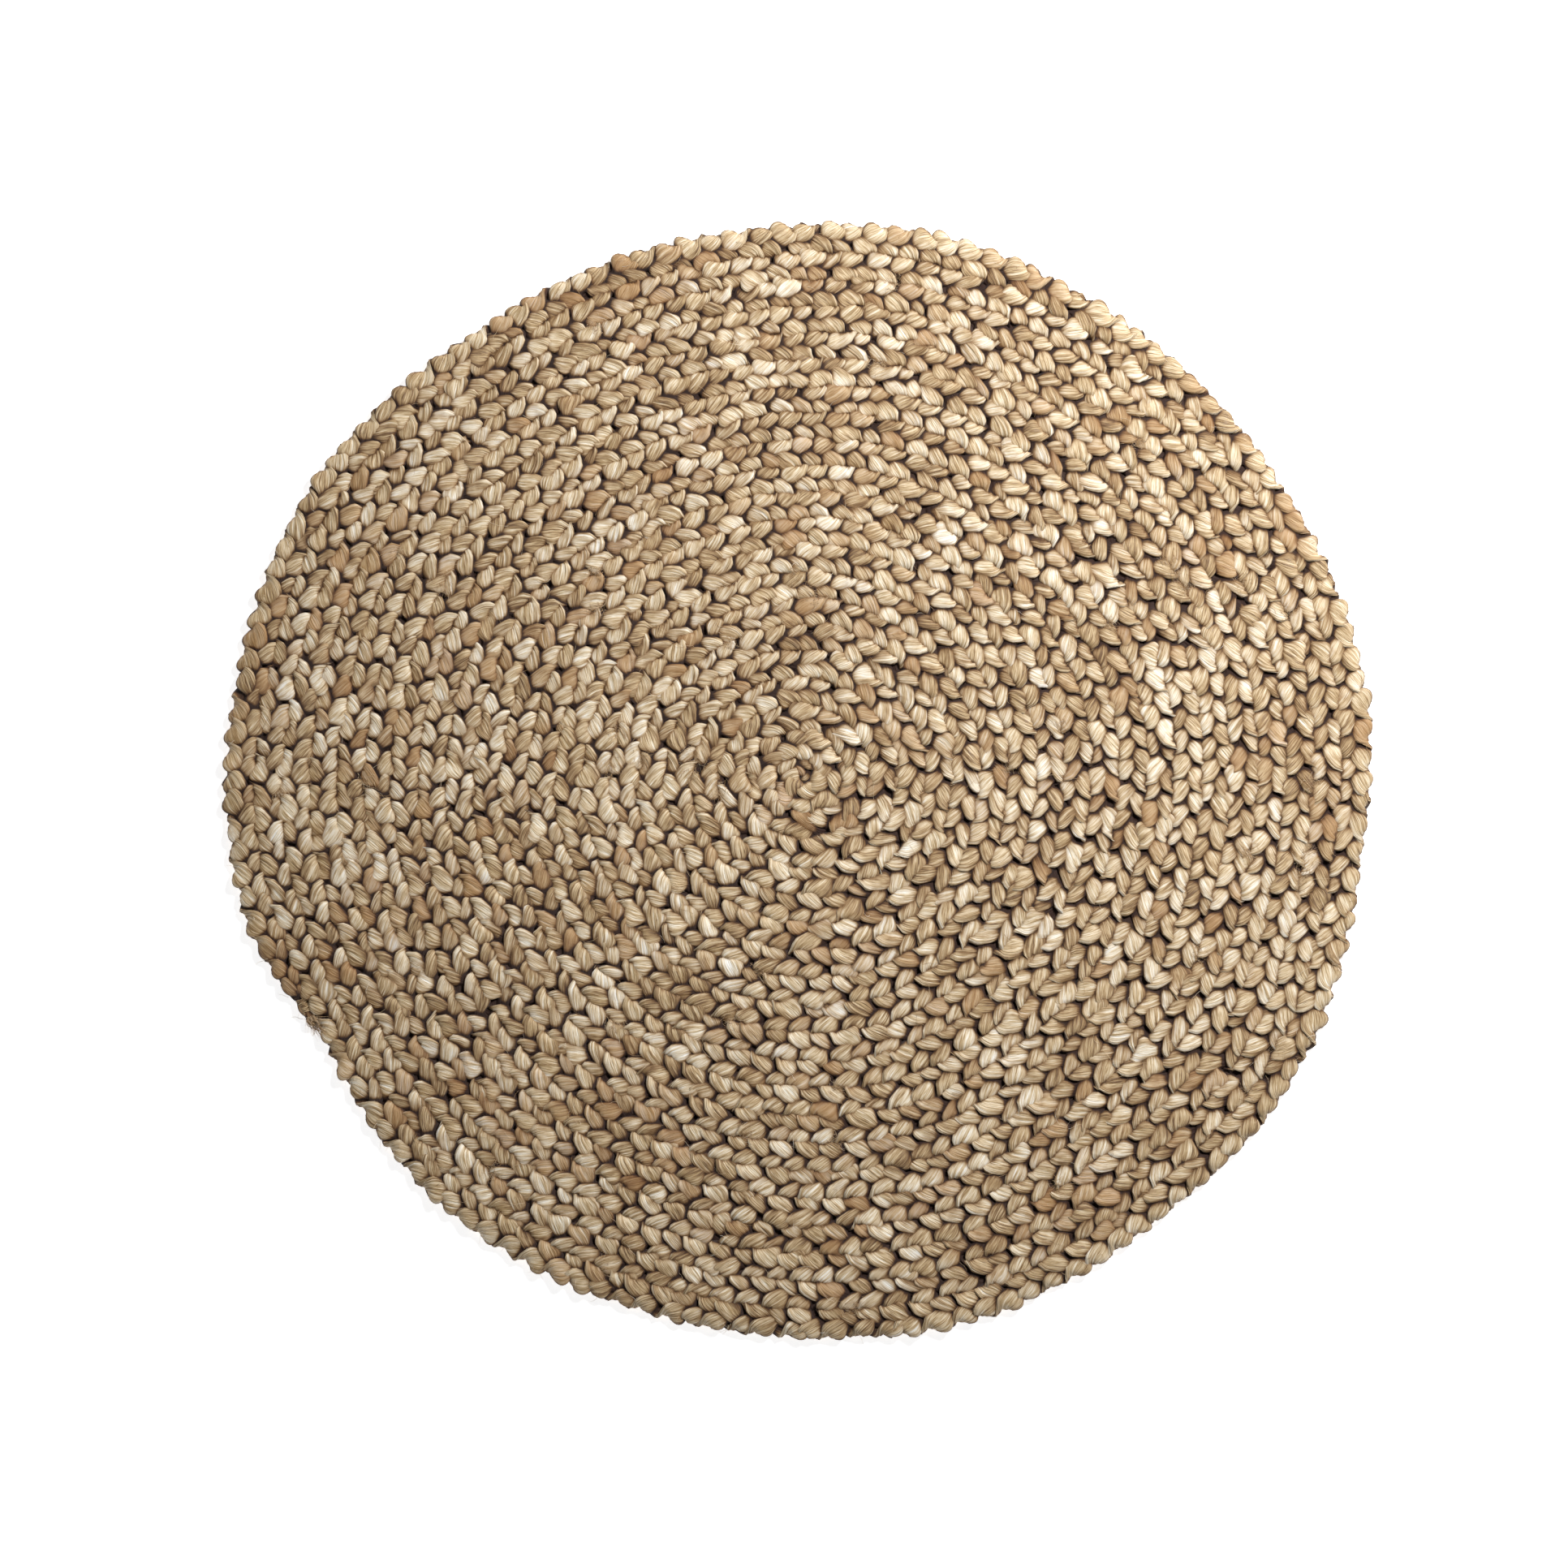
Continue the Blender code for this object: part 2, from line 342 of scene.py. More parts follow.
def strand_grid(number, turn, length, base_phase):
    """Rings of points along one strand, and for each point what its material needs."""
    loose = PHASE_VARIES + CENTRE_PHASE_VARIES * (1 - smooth(*CENTRE_UNEVEN, length))
    phase = base_phase + 2 * math.pi * number / len(STRANDS) + loose * wobble(length / SHORT)
    passes = (phase - 0.75 * math.pi) / math.pi  # a whole number in the middle of each top pass
    inner, outer = radii(turn)
    size = (outer - inner) / 2 / FULL_HALF
    free = smooth(*FREE_EDGE, turn)  # no round lies against its outside
    left = length[-1] - length
    kept = whipping_leaves(left)

    # where it runs
    swell = SIZE + PASS_SIZE_VARIES * wobble(passes) + SLOW_SIZE_VARIES * wobble(length / LONG)
    swing_share, rise_share, lean = plait_path(phase)
    swing = SWING * size * swing_share * (1 + PASS_SWING_VARIES * wobble(passes))
    swing = np.where(swing > 0, swing * (1 - (1 - FREE_SWING) * free), swing) * kept["swing"]
    across = (inner + outer) / 2 + swing + DRIFT * wobble(length / MEDIUM)
    rise = RISE * rise_share * (1 + PASS_RISE_VARIES * wobble(passes))
    height = MIDDLE + rise * kept["rise"]
    height = height + LIFT * wobble(length / SHORT)
    core = placed(across, turn, height)
    along = unit(np.gradient(core, axis=0))

    # the strand lies flat on top and below, and stands upright where it turns at an edge
    tilt = math.pi / 2 * lean + PASS_TILT_VARIES * wobble(passes)
    side, face = strand_axes(turn, along, tilt)

    # its width and thickness
    top = np.abs(rise_share)  # 1 on a pass, 0 at an edge and at the crossing
    low = CROSSING + (UPRIGHT_WIDE - CROSSING) * swing_share**2
    widest = WIDE * (1 + BELOW * smooth(0.0, LOW_PASS, -rise_share))
    wide = (low + (widest - low) * np.sqrt(top)) * size**NARROW_WIDE * swell
    thick = (THICK + PACKED * (1 - top)) * size**NARROW_THICK
    thick = thick * (1 + PASS_THICK_VARIES * wobble(passes))
    rounded = np.sqrt(np.clip(np.minimum(length, left) / END_ROUNDING, END_LEAST, 1.0))
    wide = wide * rounded * kept["wide"]
    thick = thick * rounded * kept["thick"]

    around = even_angles(RING_SIDES, WIDE / THICK)
    ridge = RIDGES * np.stack([wobble(length / RIDGE_LENGTH) for _ in around], axis=-1)
    around = around + WINDING * wobble(length / WINDING_LENGTH)[:, None]
    cos, sin = (np.sign(v) * np.abs(v) ** BLUNT for v in (np.cos(around), np.sin(around)))
    spread = 1 + SPREAD * (1 - swing_share**2) * np.clip(rise_share, 0, 1)
    edgeward = np.where(cos > 0, spread[:, None], 1.0)
    grid = (
        core[:, None, :]
        + ((wide[:, None] * edgeward + ridge) * cos)[..., None] * side[:, None, :]
        + ((thick[:, None] + ridge) * sin)[..., None] * face[:, None, :]
    )
    grid[..., 2] = pressed(grid[..., 2])

    fibre = np.empty(grid.shape)
    fibre[..., 0] = WIDE * cos
    fibre[..., 1] = WIDE * sin
    fibre[..., 2] = run_of(core)[:, None]
    looks, run = (
        np.repeat(values[:, None, :], RING_SIDES, axis=1)
        for values in (strand_looks(passes, free, left, swing), along)
    )
    return grid, {"fibre": fibre, "looks": looks, "run": run}


def height_maps(points):
    """The heights of the rug's surface, on grids over the floor.

    Gives the grids' low corner, the smoothed upper and lower surface, and the plain upper one.
    """
    low = points[:, :2].min(0) - MAP_MARGIN
    count = np.ceil((points[:, :2].max(0) + MAP_MARGIN - low) / MAP_CELL).astype(int)
    cell = ((points[:, :2] - low) / MAP_CELL).astype(int)
    index = cell[:, 0] * count[1] + cell[:, 1]
    upper = np.zeros(count[0] * count[1])
    lower = np.full(count[0] * count[1], BRAID_THICKNESS)
    np.maximum.at(upper, index, points[:, 2])
    np.minimum.at(lower, index, points[:, 2])
    frequency = np.fft.fftfreq(count[0])[:, None] ** 2 + np.fft.rfftfreq(count[1])[None, :] ** 2
    blur = np.exp(-2 * (math.pi * MAP_BLUR / MAP_CELL) ** 2 * frequency)
    plain, smoothed = [], []
    for flat, widest in ((upper, np.maximum), (lower, np.minimum)):
        heights = flat.reshape(count)
        for axis in (0, 1):
            heights = widest(heights, widest(np.roll(heights, 1, axis), np.roll(heights, -1, axis)))
        plain.append(heights)
        known = (heights != flat[0]).astype(float)
        total, weight = (
            np.fft.irfft2(np.fft.rfft2(values) * blur, s=tuple(count))
            for values in (heights * known, known)
        )
        smoothed.append(total / np.maximum(weight, MAP_LEAST_WEIGHT))
    return low, smoothed, plain[0]


def depth_below(points, low, maps):
    """How far points lie below the rug's nearer surface, as smoothed."""
    cell = ((points[..., :2] - low) / MAP_CELL).astype(int)
    upper, lower = (heights[cell[..., 0], cell[..., 1]] for heights in maps)
    return np.minimum(upper - points[..., 2], points[..., 2] - lower)


def surface_normals(grid):
    """The outward direction at each (ring, side) point of a tube."""
    along = np.gradient(grid, axis=0)
    around = np.roll(grid, -1, axis=1) - np.roll(grid, 1, axis=1)
    return unit(np.cross(around, along) + NEVER_ZERO)


def tubes(name, grid, vectors, normals=None):
    """Closed tubes, in a mesh, from (tube, ring, side) points and the vectors stored at them."""
    count, rings, sides = grid.shape[:3]
    mesh = bpy.data.meshes.new(name)
    tube, ring, side = np.meshgrid(
        np.arange(count), np.arange(rings - 1), np.arange(sides), indexing="ij"
    )
    here = (tube * rings + ring) * sides
    following = (side + 1) % sides
    quads = np.stack(
        [here + side, here + following, here + sides + following, here + sides + side], axis=-1
    ).reshape(-1, 4)
    first = (np.arange(count) * rings * sides)[:, None]
    last = first + (rings - 1) * sides
    ends = np.concatenate([first + np.arange(sides)[::-1], last + np.arange(sides)])
    loops = np.concatenate([quads.ravel(), ends.ravel()])
    starts = np.concatenate(
        [np.arange(len(quads)) * 4, len(quads) * 4 + np.arange(len(ends)) * sides]
    )
    mesh.vertices.add(count * rings * sides)
    mesh.vertices.foreach_set("co", grid.astype(np.float32).ravel())
    mesh.loops.add(len(loops))
    mesh.loops.foreach_set("vertex_index", loops.astype(np.int32))
    mesh.polygons.add(len(starts))
    mesh.polygons.foreach_set("loop_start", starts.astype(np.int32))
    mesh.update(calc_edges=True)
    mesh.shade_smooth()
    if normals is not None:
        mesh.normals_split_custom_set_from_vertices(normals.reshape(-1, 3).astype(np.float32))
    for key, values in vectors.items():
        stored = mesh.attributes.new(key, "FLOAT_VECTOR", "POINT")
        stored.data.foreach_set("vector", values.astype(np.float32).ravel())
    made = bpy.data.objects.new(name, mesh)
    bpy.context.scene.collection.objects.link(made)
    return made


# ---- the twine ----


def twine_tube(path, upright, sides):
    """Rings of points round a path, with two lobes that wind round it as two plies do."""
    along = unit(np.gradient(path, axis=0))
    side = unit(np.cross(along, upright))
    top = np.cross(side, along)
    run = run_of(path)
    around = 2 * math.pi * np.arange(sides) / sides
    turned = around - 2 * math.pi * run[:, None] / TWINE_LAY
    reach = TWINE_RADIUS * (1 - TWINE_LOBES + TWINE_LOBES * np.cos(2 * turned))[..., None]
    grid = path[:, None] + reach * (
        np.cos(around)[:, None] * side[:, None] + np.sin(around)[:, None] * top[:, None]
    )
    grid[..., 2] = np.maximum(grid[..., 2], 0.0)
    fibre = np.empty(grid.shape)
    fibre[..., 0] = TWINE_RADIUS * np.cos(turned)
    fibre[..., 1] = TWINE_RADIUS * np.sin(turned)
    fibre[..., 2] = run[:, None]
    looks = np.zeros(grid.shape)
    looks[..., 0] = (0.5 + 0.5 * wobble(run / TWINE_PATCH))[:, None]
    # painted shade in the groove between the two plies
    looks[..., 2] = TWINE_GROOVE_PAINTED_SHADE * np.clip(-np.cos(2 * turned), 0, 1)
    run_along = np.repeat(along[:, None], sides, axis=1)
    return grid[None], {"fibre": fibre[None], "looks": looks[None], "run": run_along[None]}


def lacing_path():
    """Stitches to and fro across the groove between two rounds, on the underside."""
    fine = np.linspace(THREAD_FIRST_TURN, THREAD_LAST_TURN, 60001)
    around = 2 * math.pi * BRAID_PITCH * (fine + 0.5)
    length = np.concatenate([[0], np.cumsum((around[1:] + around[:-1]) / 2 * np.diff(fine))])
    even = np.arange(0, length[-1], LACING_STEP)
    turn = np.interp(even, length, fine)
    uneven = STITCH_PLACE_VARIES * wobble(even / STITCH_PLACE_LENGTH)
    stitch = 2 * math.pi * (even / STITCH_LENGTH + uneven)
    reach = STITCH_REACH * np.sin(stitch)
    reach = reach * (1 + STITCH_REACH_VARIES * wobble(even / STITCH_REACH_LENGTH))
    low, high = STITCH_HEIGHTS
    height = low + (high - low) * np.sin(stitch) ** 2
    return placed(BRAID_PITCH * (turn + 0.5) + reach, turn, height)


def tip_turn(left):
    """The turn that is this length of braid before its tip."""
    return LAST_TURN - left / (2 * math.pi * BRAID_PITCH * LAST_TURN)


def whipping_path():
    """Close coils of twine round the braid's neck, and the braid's direction at each point."""
    share = np.linspace(-WHIPPING_OVERRUN, 1 + WHIPPING_OVERRUN, WHIPPING_POINTS)
    turn = tip_turn(WHIPPING_START + (WHIPPING_END - WHIPPING_START) * share)
    inner, outer = radii(turn)
    angle = 2 * math.pi * WHIPPING_TURNS * share
    reach = WHIPPING_RADIUS * (1 + COIL_VARIES * wobble(share * COIL_CHANGES))
    across = (inner + outer) / 2 + reach * np.cos(angle)
    path = placed(across, turn, MIDDLE + reach * np.sin(angle))
    heading = 2 * math.pi * turn
    return path, np.stack([-np.sin(heading), np.cos(heading), 0 * heading], axis=-1)


# ---- loose fibres ----


def fibres(start, heading, length, curl, height, brown, top, low):
    """Curled fibres from their starts, lying on the rug, or on the floor outside it."""
    count = len(start)
    share = np.linspace(0, 1, FIBRE_RINGS)
    bends = np.cumsum(rng.normal(0, 1, (count, FIBRE_RINGS)), axis=1) / math.sqrt(FIBRE_RINGS)
    direction = heading[:, None] + curl * bends
    step = (length / (FIBRE_RINGS - 1))[:, None]
    x = start[:, :1] + np.cumsum(np.cos(direction) * step, axis=1)
    y = start[:, 1:2] + np.cumsum(np.sin(direction) * step, axis=1)
    cell_x = np.clip(((x - low[0]) / MAP_CELL).astype(int), 0, top.shape[0] - 1)
    cell_y = np.clip(((y - low[1]) / MAP_CELL).astype(int), 0, top.shape[1] - 1)
    z = top[cell_x, cell_y]
    for _ in range(2):  # it bridges the hollows under it
        before = np.concatenate([z[:, :1], z[:, :-1]], axis=1)
        after = np.concatenate([z[:, 1:], z[:, -1:]], axis=1)
        z = np.maximum(z * 0.9, (before + 2 * z + after) / 4)
    arch = height[:, None] * np.sin(math.pi * share) ** 2
    arch = arch + FIBRE_LIFT_VARIES * rng.uniform(-1, 1, (count, 1))
    core = np.stack([x, y, np.maximum(z + arch, FIBRE_RADIUS)], axis=-1)
    along = unit(np.gradient(core, axis=1))
    side = unit(np.cross(along, (0.0, 0.0, 1.0)))
    up = np.cross(side, along)
    thick = FIBRE_RADIUS * rng.uniform(*FIBRE_SIZES, (count, 1)) * (1 - FIBRE_TAPER * share**2)
    around = 2 * math.pi * np.arange(FIBRE_SIDES) / FIBRE_SIDES
    grid = core[:, :, None] + thick[..., None, None] * (
        np.cos(around)[:, None] * side[:, :, None] + np.sin(around)[:, None] * up[:, :, None]
    )
    grid[..., 2] = np.maximum(grid[..., 2], 0.0)
    fibre = np.zeros(grid.shape)
    fibre[..., 0] = rng.uniform(0, 1, (count, 1, 1))
    fibre[..., 2] = share[:, None] * length[:, None, None]
    looks = np.zeros(grid.shape)
    looks[..., 0] = rng.uniform(0, 1, (count, 1, 1))
    looks[..., 1] = brown[:, None, None]
    run = np.repeat(along[:, :, None], FIBRE_SIDES, axis=2)
    return grid, {"fibre": fibre, "looks": looks, "run": run}


def on_braid(turn, across):
    """Points over the braid, this far outwards of its centre line, and its heading there."""
    inner, outer = radii(turn)
    spot = placed((inner + outer) / 2 + across, turn, 0.0)[:, :2]
    return spot, 2 * math.pi * turn + math.pi / 2


def turns_spread(count, first, last):
    """Random turns, as many on each length of braid."""
    return np.sqrt(rng.uniform(first**2, last**2, count))


def stray_fibres(top, low):
    """Single fibres that have worked loose, over the rug and out from its edge."""
    inside, edge = STRAYS, EDGE_STRAYS
    turn = turns_spread(inside, 0.3, LAST_TURN - 0.1)
    spot, heading = on_braid(turn, rng.uniform(-STRAY_REACH, STRAY_REACH, inside))
    edge_turn = rng.uniform(LAST_TURN - 0.99, LAST_TURN, edge)
    edge_spot, edge_heading = on_braid(edge_turn, rng.uniform(*EDGE_REACH, edge))
    spot = np.concatenate([spot, edge_spot])
    heading = heading + rng.choice([0, math.pi], inside) + rng.normal(0, STRAY_TURNED, inside)
    edge_heading = edge_heading - math.pi / 2 + rng.normal(0, EDGE_TURNED, edge)
    heading = np.concatenate([heading, edge_heading])
    length = np.concatenate([rng.uniform(*STRAY_LENGTHS, inside), rng.uniform(*EDGE_LENGTHS, edge)])
    height = rng.uniform(0, STRAY_ARCH, inside + edge)
    brown = rng.choice(STRAY_BROWNS, inside + edge, p=STRAY_BROWN_CHANCES)
    return fibres(spot, heading, length, STRAY_CURL, height, brown, top, low)


def splice_tufts(top, low):
    """Short brown fuzz where new fibre was laid into a strand."""
    spots, each = SPLICES, SPLICE_FIBRES
    turn = np.repeat(turns_spread(spots, 1.5, LAST_TURN - 0.6), each)
    across = np.repeat(rng.choice([-0.5, 0.5], spots) * BRAID_PITCH, each)
    spread = rng.normal(0, SPLICE_SPREAD, (2, spots * each))
    turn = turn + spread[0] / (2 * math.pi * BRAID_PITCH * turn)
    spot, heading = on_braid(turn, across + spread[1])
    count = spots * each
    leaning = np.repeat(rng.uniform(-SPLICE_LEAN, SPLICE_LEAN, spots), each)
    heading = heading + leaning + rng.normal(0, SPLICE_TURNED, count)
    length = rng.uniform(*SPLICE_LENGTHS, count)
    brown = rng.uniform(*TUFT_BROWNS, count)
    height = rng.uniform(0, SPLICE_ARCH, count)
    return fibres(spot, heading, length, SPLICE_CURL, height, brown, top, low)


def end_fray(top, low):
    """The brush of fibre ends beyond the whipping."""
    count = FRAY_FIBRES
    turn = tip_turn(rng.uniform(0.0, FRAY_START, count))
    spot, heading = on_braid(turn, rng.normal(0, FRAY_SPREAD, count))
    heading = heading + FRAY_LEAN + rng.normal(0, FRAY_TURNED, count)
    length = rng.uniform(*FRAY_LENGTHS, count)
    brown = rng.uniform(*TUFT_BROWNS, count)
    height = rng.uniform(0, FRAY_ARCH, count)
    return fibres(spot, heading, length, FRAY_CURL, height, brown, top, low)


# ---- materials ----


def node(tree, kind, inputs=None, **settings):
    """Adds a node; an input is a value, or the output socket that it is linked to."""
    made = tree.nodes.new(kind)
    for key, value in settings.items():
        setattr(made, key, value)
    for key, value in (inputs or {}).items():
        if isinstance(value, bpy.types.NodeSocket):
            tree.links.new(value, made.inputs[key])
        else:
            made.inputs[key].default_value = value
    return made


def ramp(tree, factor, stops):
    made = node(tree, "ShaderNodeValToRGB", {"Fac": factor})
    stripes = made.color_ramp.elements
    while len(stripes) < len(stops):
        stripes.new(0.5)
    for stripe, (position, colour) in zip(stripes, stops):
        stripe.position = position
        stripe.color = (*colour, 1)
    return made.outputs["Color"]


def streaks(tree, fibre, stretch, scale, detail=3.0):
    """Noise drawn out along the fibres."""
    drawn = node(tree, "ShaderNodeVectorMath", {0: fibre, 1: (1, 1, stretch)}, operation="MULTIPLY")
    made = node(
        tree,
        "ShaderNodeTexNoise",
        {"Vector": drawn.outputs[0], "Scale": scale, "Detail": detail, "Roughness": 0.6},
    )
    return made.outputs["Fac"]


def maths(tree, operation, *values):
    made = node(tree, "ShaderNodeMath", dict(enumerate(values)), operation=operation)
    return made.outputs[0]


def eased(tree, value, low, high, to_low=0.0, to_high=1.0):
    """A smooth step of the value from low to high."""
    made = node(
        tree,
        "ShaderNodeMapRange",
        {"Value": value, "From Min": low, "From Max": high, "To Min": to_low, "To Max": to_high},
        interpolation_type="SMOOTHSTEP",
    )
    return made.outputs[0]


def mixed(tree, factor, one, other, blend="MIX"):
    made = node(tree, "ShaderNodeMix", data_type="RGBA", blend_type=blend)
    for index, value in ((0, factor), (6, one), (7, other)):
        if isinstance(value, bpy.types.NodeSocket):
            tree.links.new(value, made.inputs[index])
        else:
            made.inputs[index].default_value = value if index == 0 else (*value, 1)
    return made.outputs[2]


# Streaks along the fibre: how far they are drawn out, and their scale
FINE = (0.05, 1700)
BUNDLES = (0.08, 480)
BROAD = (0.2, 60)

# The shade, a place on the stops, is the weighted sum of the streaks and the tone
FINE_WEIGHT = 1.3
BUNDLES_WEIGHT = 1.5
BROAD_WEIGHT = 0.8
TONE_WEIGHT = 0.36
SHADE_START = -1.52  # brings the sum to the middle of the stops

BROWN = (0.41, 0.22, 0.08)
BROWN_WEIGHT = 0.75
# Painted shade: in crevices the colour is multiplied by the shadow tint, and deepest down turns near
# black
SHADOW_TINT = (0.39, 0.245, 0.105)
SHADOW_DEPTHS = (0.12, 0.62)  # where it starts, and where it holds in full
CREVICE_PAINTED_SHADE = (0.026, 0.006, 0.0005)
CREVICE_PAINTED_SHADE_DEPTHS = (0.38, 0.72)
ROUGHNESS = (0.34, 0.90)  # at the low and the high end of this range
ROUGH_RANGE = (0.2, 1.2)
ROUGH_BY_DEPTH = 0.9
BUMP_HEIGHT = 0.0008
BUNDLES_BUMP = 2.0  # against the fine streaks
JUTE_STOPS = (
    (0.00, (0.16, 0.080, 0.025)),
    (0.28, (0.43, 0.285, 0.130)),
    (0.52, (0.68, 0.530, 0.330)),
    (0.78, (0.88, 0.790, 0.635)),
    (1.00, (0.98, 0.955, 0.900)),
)
TWINE_STOPS = (
    (0.00, (0.12, 0.060, 0.020)),
    (0.30, (0.28, 0.170, 0.070)),
    (0.55, (0.45, 0.305, 0.150)),
    (0.80, (0.60, 0.450, 0.255)),
    (1.00, (0.70, 0.560, 0.360)),
)


def fibre_material(name, stops):
    """Jute fibre, from what each point holds: its place in the strand and its looks, with painted
    shade in the crevices.
    """
    made = bpy.data.materials.new(name)
    made.use_nodes = True
    tree = made.node_tree
    shader = tree.nodes["Principled BSDF"]
    fibre = node(tree, "ShaderNodeAttribute", attribute_name="fibre").outputs["Vector"]
    looks = node(tree, "ShaderNodeAttribute", attribute_name="looks").outputs["Vector"]
    parts = node(tree, "ShaderNodeSeparateXYZ", {0: looks})
    tone, brown, deep = parts.outputs
    fine = streaks(tree, fibre, *FINE)
    bundles = streaks(tree, fibre, *BUNDLES)
    broad = streaks(tree, fibre, *BROAD)
    shade = SHADE_START
    weights = (FINE_WEIGHT, BUNDLES_WEIGHT, TONE_WEIGHT, BROAD_WEIGHT)
    for part, weight in zip((fine, bundles, tone, broad), weights):
        shade = maths(tree, "MULTIPLY_ADD", part, weight, shade)
    colour = ramp(tree, shade, stops)
    colour = mixed(tree, maths(tree, "MULTIPLY", brown, BROWN_WEIGHT), colour, BROWN)
    # painted shade by the depth in a crevice: browner, then near black
    shaded = mixed(tree, 1.0, colour, SHADOW_TINT, "MULTIPLY")
    colour = mixed(tree, eased(tree, deep, *SHADOW_DEPTHS), colour, shaded)
    colour = mixed(tree, eased(tree, deep, *CREVICE_PAINTED_SHADE_DEPTHS), colour, CREVICE_PAINTED_SHADE)
    tree.links.new(colour, shader.inputs["Base Color"])
    rough = maths(tree, "MULTIPLY_ADD", deep, ROUGH_BY_DEPTH, fine)
    rough = eased(tree, rough, *ROUGH_RANGE, *ROUGHNESS)
    tree.links.new(rough, shader.inputs["Roughness"])
    height = maths(tree, "MULTIPLY_ADD", bundles, BUNDLES_BUMP, fine)
    bumps = {"Height": height, "Strength": 0.8, "Distance": BUMP_HEIGHT}
    bump = node(tree, "ShaderNodeBump", bumps)
    tree.links.new(bump.outputs[0], shader.inputs["Normal"])
    run = node(tree, "ShaderNodeAttribute", attribute_name="run").outputs["Vector"]
    tree.links.new(run, shader.inputs["Tangent"])
    shader.inputs["Anisotropic"].default_value = 0.7
    shader.inputs["Specular IOR Level"].default_value = 0.75
    shader.inputs["Sheen Weight"].default_value = 0.03
    shader.inputs["Sheen Roughness"].default_value = 0.4
    return made


# ---- the studio ----

FRAME_WIDTH = 1.400
CAMERA_CENTRE = (-0.0127, -0.0025)
LENS = 85
SENSOR = 36
FLOOR_RADIUS = 9.0
FLOOR_MIDDLE = 0.5  # the radius of its single middle face
FLOOR_SIDES = 96
BACKDROP_HEIGHT = 4.0
BACKDROP_STEPS = 12
FLOOR_GLOW = 0.80  # keeps it nearly white, with a weak shadow
WORLD_GLOW = 0.07
KEY_LIGHT = {"azimuth": 50, "elevation": 46, "distance": 2.15, "size": 0.5, "power": 61}


def add_camera():
    data = bpy.data.cameras.new("camera")
    data.lens = LENS
    data.sensor_width = SENSOR
    made = bpy.data.objects.new("camera", data)
    made.location = (*CAMERA_CENTRE, BRAID_THICKNESS + FRAME_WIDTH * LENS / SENSOR)
    bpy.context.scene.collection.objects.link(made)
    bpy.context.scene.camera = made


def add_light(name, azimuth, elevation, distance, size, power):
    data = bpy.data.lights.new(name, "AREA")
    data.shape = "DISK"
    data.size = size
    data.energy = power
    made = bpy.data.objects.new(name, data)
    turn, rise = math.radians(azimuth), math.radians(elevation)
    level = math.cos(rise)
    towards = Vector((math.cos(turn) * level, math.sin(turn) * level, math.sin(rise)))
    made.location = towards * distance
    made.rotation_mode = "QUATERNION"
    made.rotation_quaternion = towards.to_track_quat("Z", "Y")
    bpy.context.scene.collection.objects.link(made)


def floor_material():
    made = bpy.data.materials.new("pale_floor")
    made.use_nodes = True
    shader = made.node_tree.nodes["Principled BSDF"]
    shader.inputs["Base Color"].default_value = (0.9, 0.9, 0.9, 1)
    shader.inputs["Roughness"].default_value = 0.9
    shader.inputs["Specular IOR Level"].default_value = 0.1
    shader.inputs["Emission Color"].default_value = (1, 1, 1, 1)
    shader.inputs["Emission Strength"].default_value = FLOOR_GLOW
    return made


def add_floor():
    """A round floor whose rim sweeps up into a low backdrop."""
    sides = FLOOR_SIDES
    bend = np.linspace(0, math.pi / 2, BACKDROP_STEPS)
    radius = np.concatenate([[FLOOR_MIDDLE], FLOOR_RADIUS + BACKDROP_HEIGHT * np.sin(bend)])
    height = np.concatenate([[0.0], BACKDROP_HEIGHT * (1 - np.cos(bend))])
    around = 2 * math.pi * np.arange(sides) / sides
    points = np.stack(
        [
            radius[:, None] * np.cos(around),
            radius[:, None] * np.sin(around),
            height[:, None] + 0 * around,
        ],
        axis=-1,
    ).reshape(-1, 3)
    faces = [tuple(range(sides))]
    for ring in range(len(radius) - 1):
        for side in range(sides):
            following = (side + 1) % sides
            here, beyond = ring * sides, (ring + 1) * sides
            faces.append((here + side, beyond + side, beyond + following, here + following))
    mesh = bpy.data.meshes.new("floor")
    mesh.from_pydata(points.tolist(), [], faces)
    mesh.shade_smooth()
    mesh.materials.append(floor_material())
    made = bpy.data.objects.new("floor", mesh)
    bpy.context.scene.collection.objects.link(made)


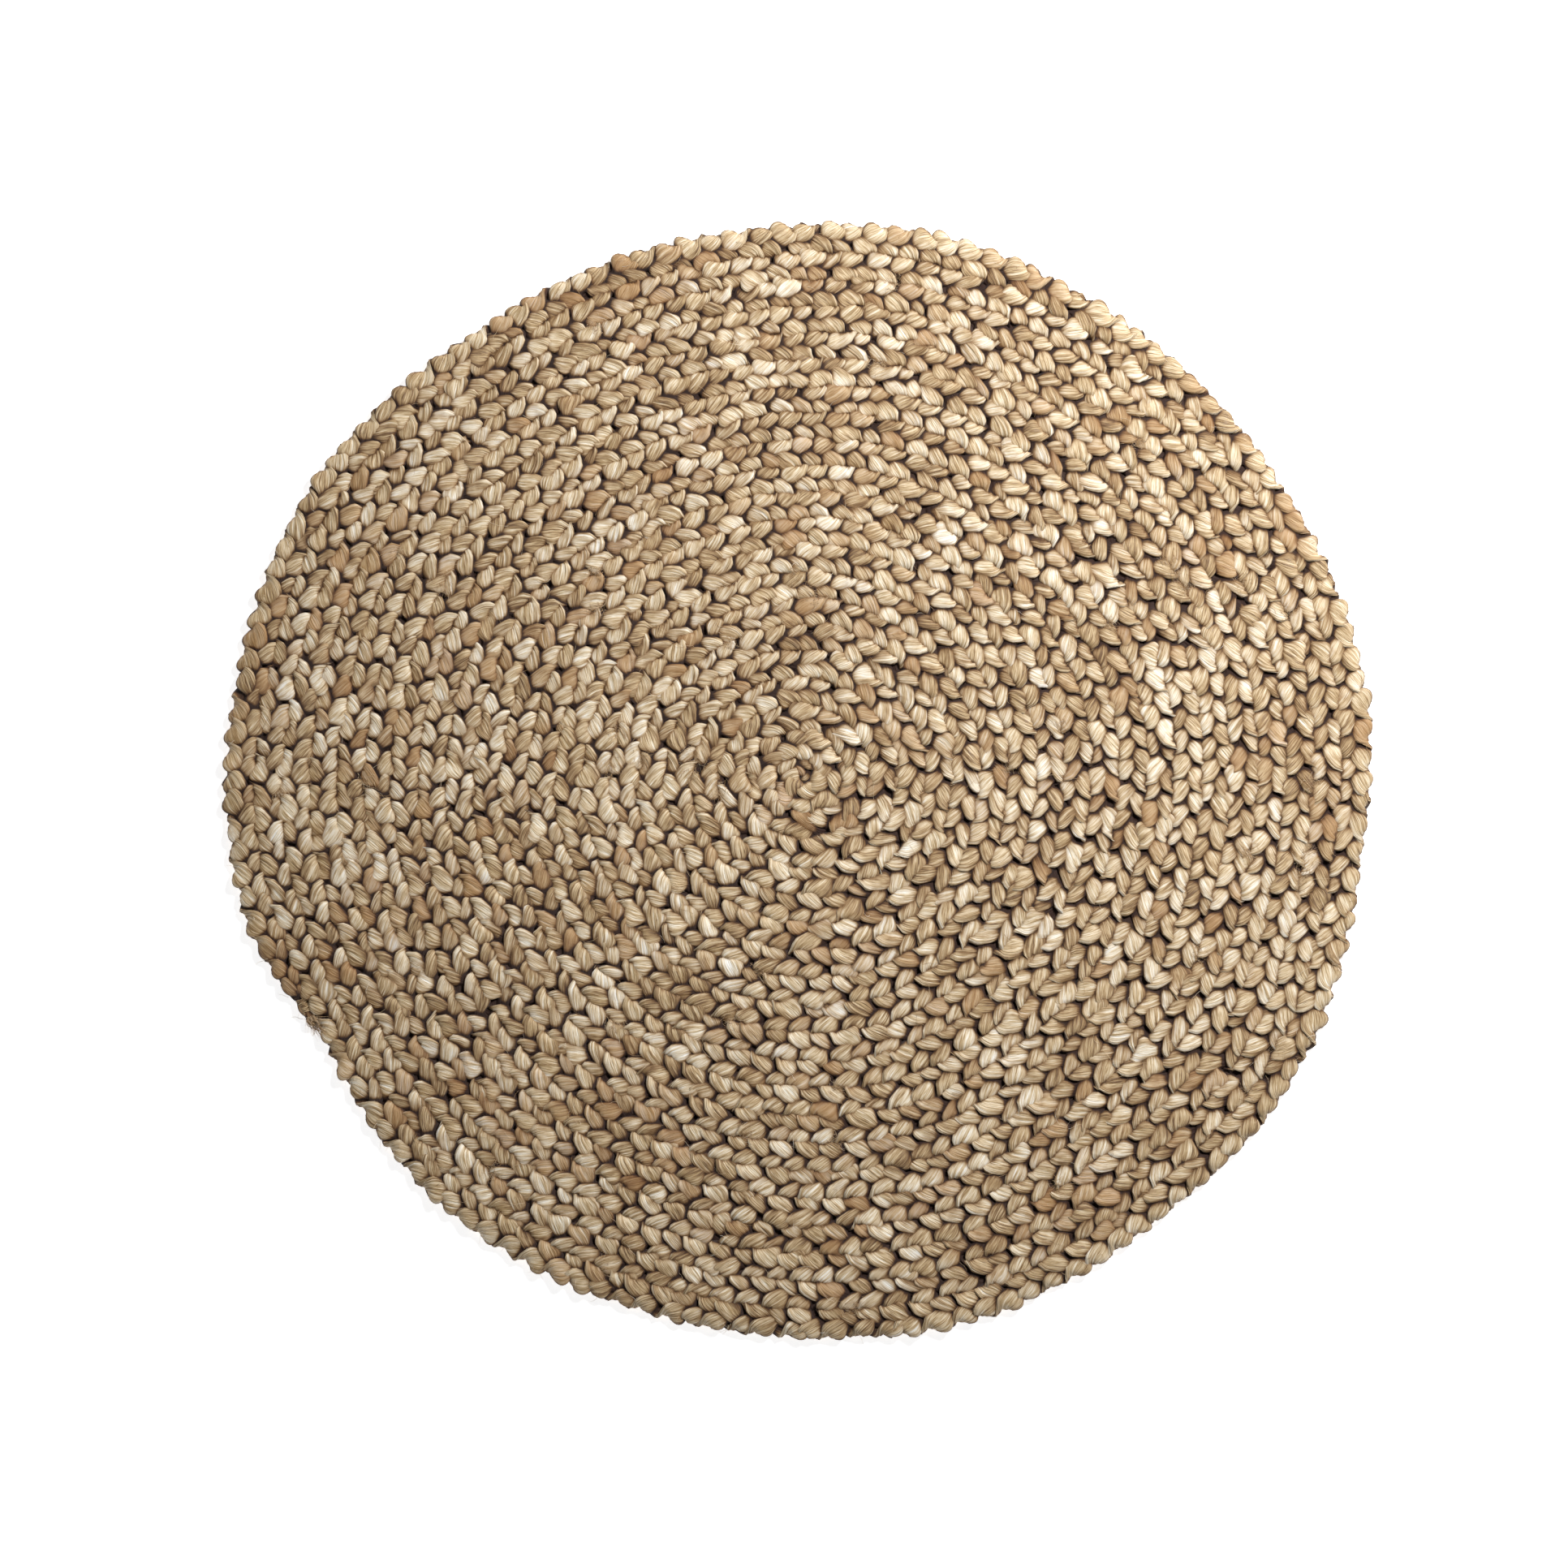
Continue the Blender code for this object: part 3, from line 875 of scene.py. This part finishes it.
def add_studio():
    add_camera()
    add_floor()
    add_light("key", **KEY_LIGHT)
    world = bpy.data.worlds.new("studio")
    world.use_nodes = True
    background = world.node_tree.nodes["Background"]
    background.inputs["Color"].default_value = (1, 1, 1, 1)
    background.inputs["Strength"].default_value = WORLD_GLOW
    bpy.context.scene.world = world
    bpy.context.scene.view_settings.view_transform = "Standard"


# ---- the whole rug ----


def round_cuts(turn):
    """The ring at which each round starts, and the last ring."""
    ends = [round_number + END_TURN for round_number in range(1, ROUNDS)]
    return [0, *np.searchsorted(turn, ends).tolist(), len(turn) - 1]


def add_piece(name, grid, stored, finish, slot, *replaced, normals=None):
    piece = tubes(name, grid, stored, normals)
    piece.data.materials.append(finish)
    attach(piece, "root")
    if replaced:
        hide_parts(*replaced)
    return piece


def add_strands(finish):
    turn, length, phase = braid_line()
    cuts = round_cuts(turn)
    strands = [strand_grid(number, turn, length, phase) for number in range(len(STRANDS))]
    low, maps, top = height_maps(np.concatenate([grid.reshape(-1, 3) for grid, _ in strands]))
    for letter, (grid, stored) in zip(STRANDS, strands):
        depth = depth_below(grid, low, maps)
        normals = surface_normals(grid)
        # painted crevice shade: its share grows with the depth below the smoothed surface
        stored["looks"][..., 2] *= smooth(*PAINTED_SHADE_DEPTH_RANGE, depth)
        for round_number in range(1, ROUNDS + 1):
            span = slice(cuts[round_number - 1], cuts[round_number] + 1)
            part = {key: values[None, span] for key, values in stored.items()}
            add_piece(
                f"strand_{letter}_round_{round_number:02d}",
                grid[None, span],
                part,
                finish,
                "jute",
                f"braid_round_{round_number:02d}",
                normals=normals[span],
            )
    return top, low


def main():
    add_studio()
    jute = fibre_material("jute_fibre", JUTE_STOPS)
    twine = fibre_material("twine_fibre", TWINE_STOPS)
    top, low = add_strands(jute)
    lacing = twine_tube(lacing_path(), (0.0, 0.0, 1.0), LACING_SIDES)
    add_piece("lacing_twine", *lacing, twine, "twine", "lacing_thread")
    whipping = twine_tube(*whipping_path(), WHIPPING_SIDES)
    add_piece("end_whipping_twine", *whipping, twine, "twine", "end_whipping")
    add_piece("stray_fibres", *stray_fibres(top, low), jute, "jute")
    add_piece("splice_tufts", *splice_tufts(top, low), jute, "jute")
    add_piece("end_fray", *end_fray(top, low), jute, "jute")


main()
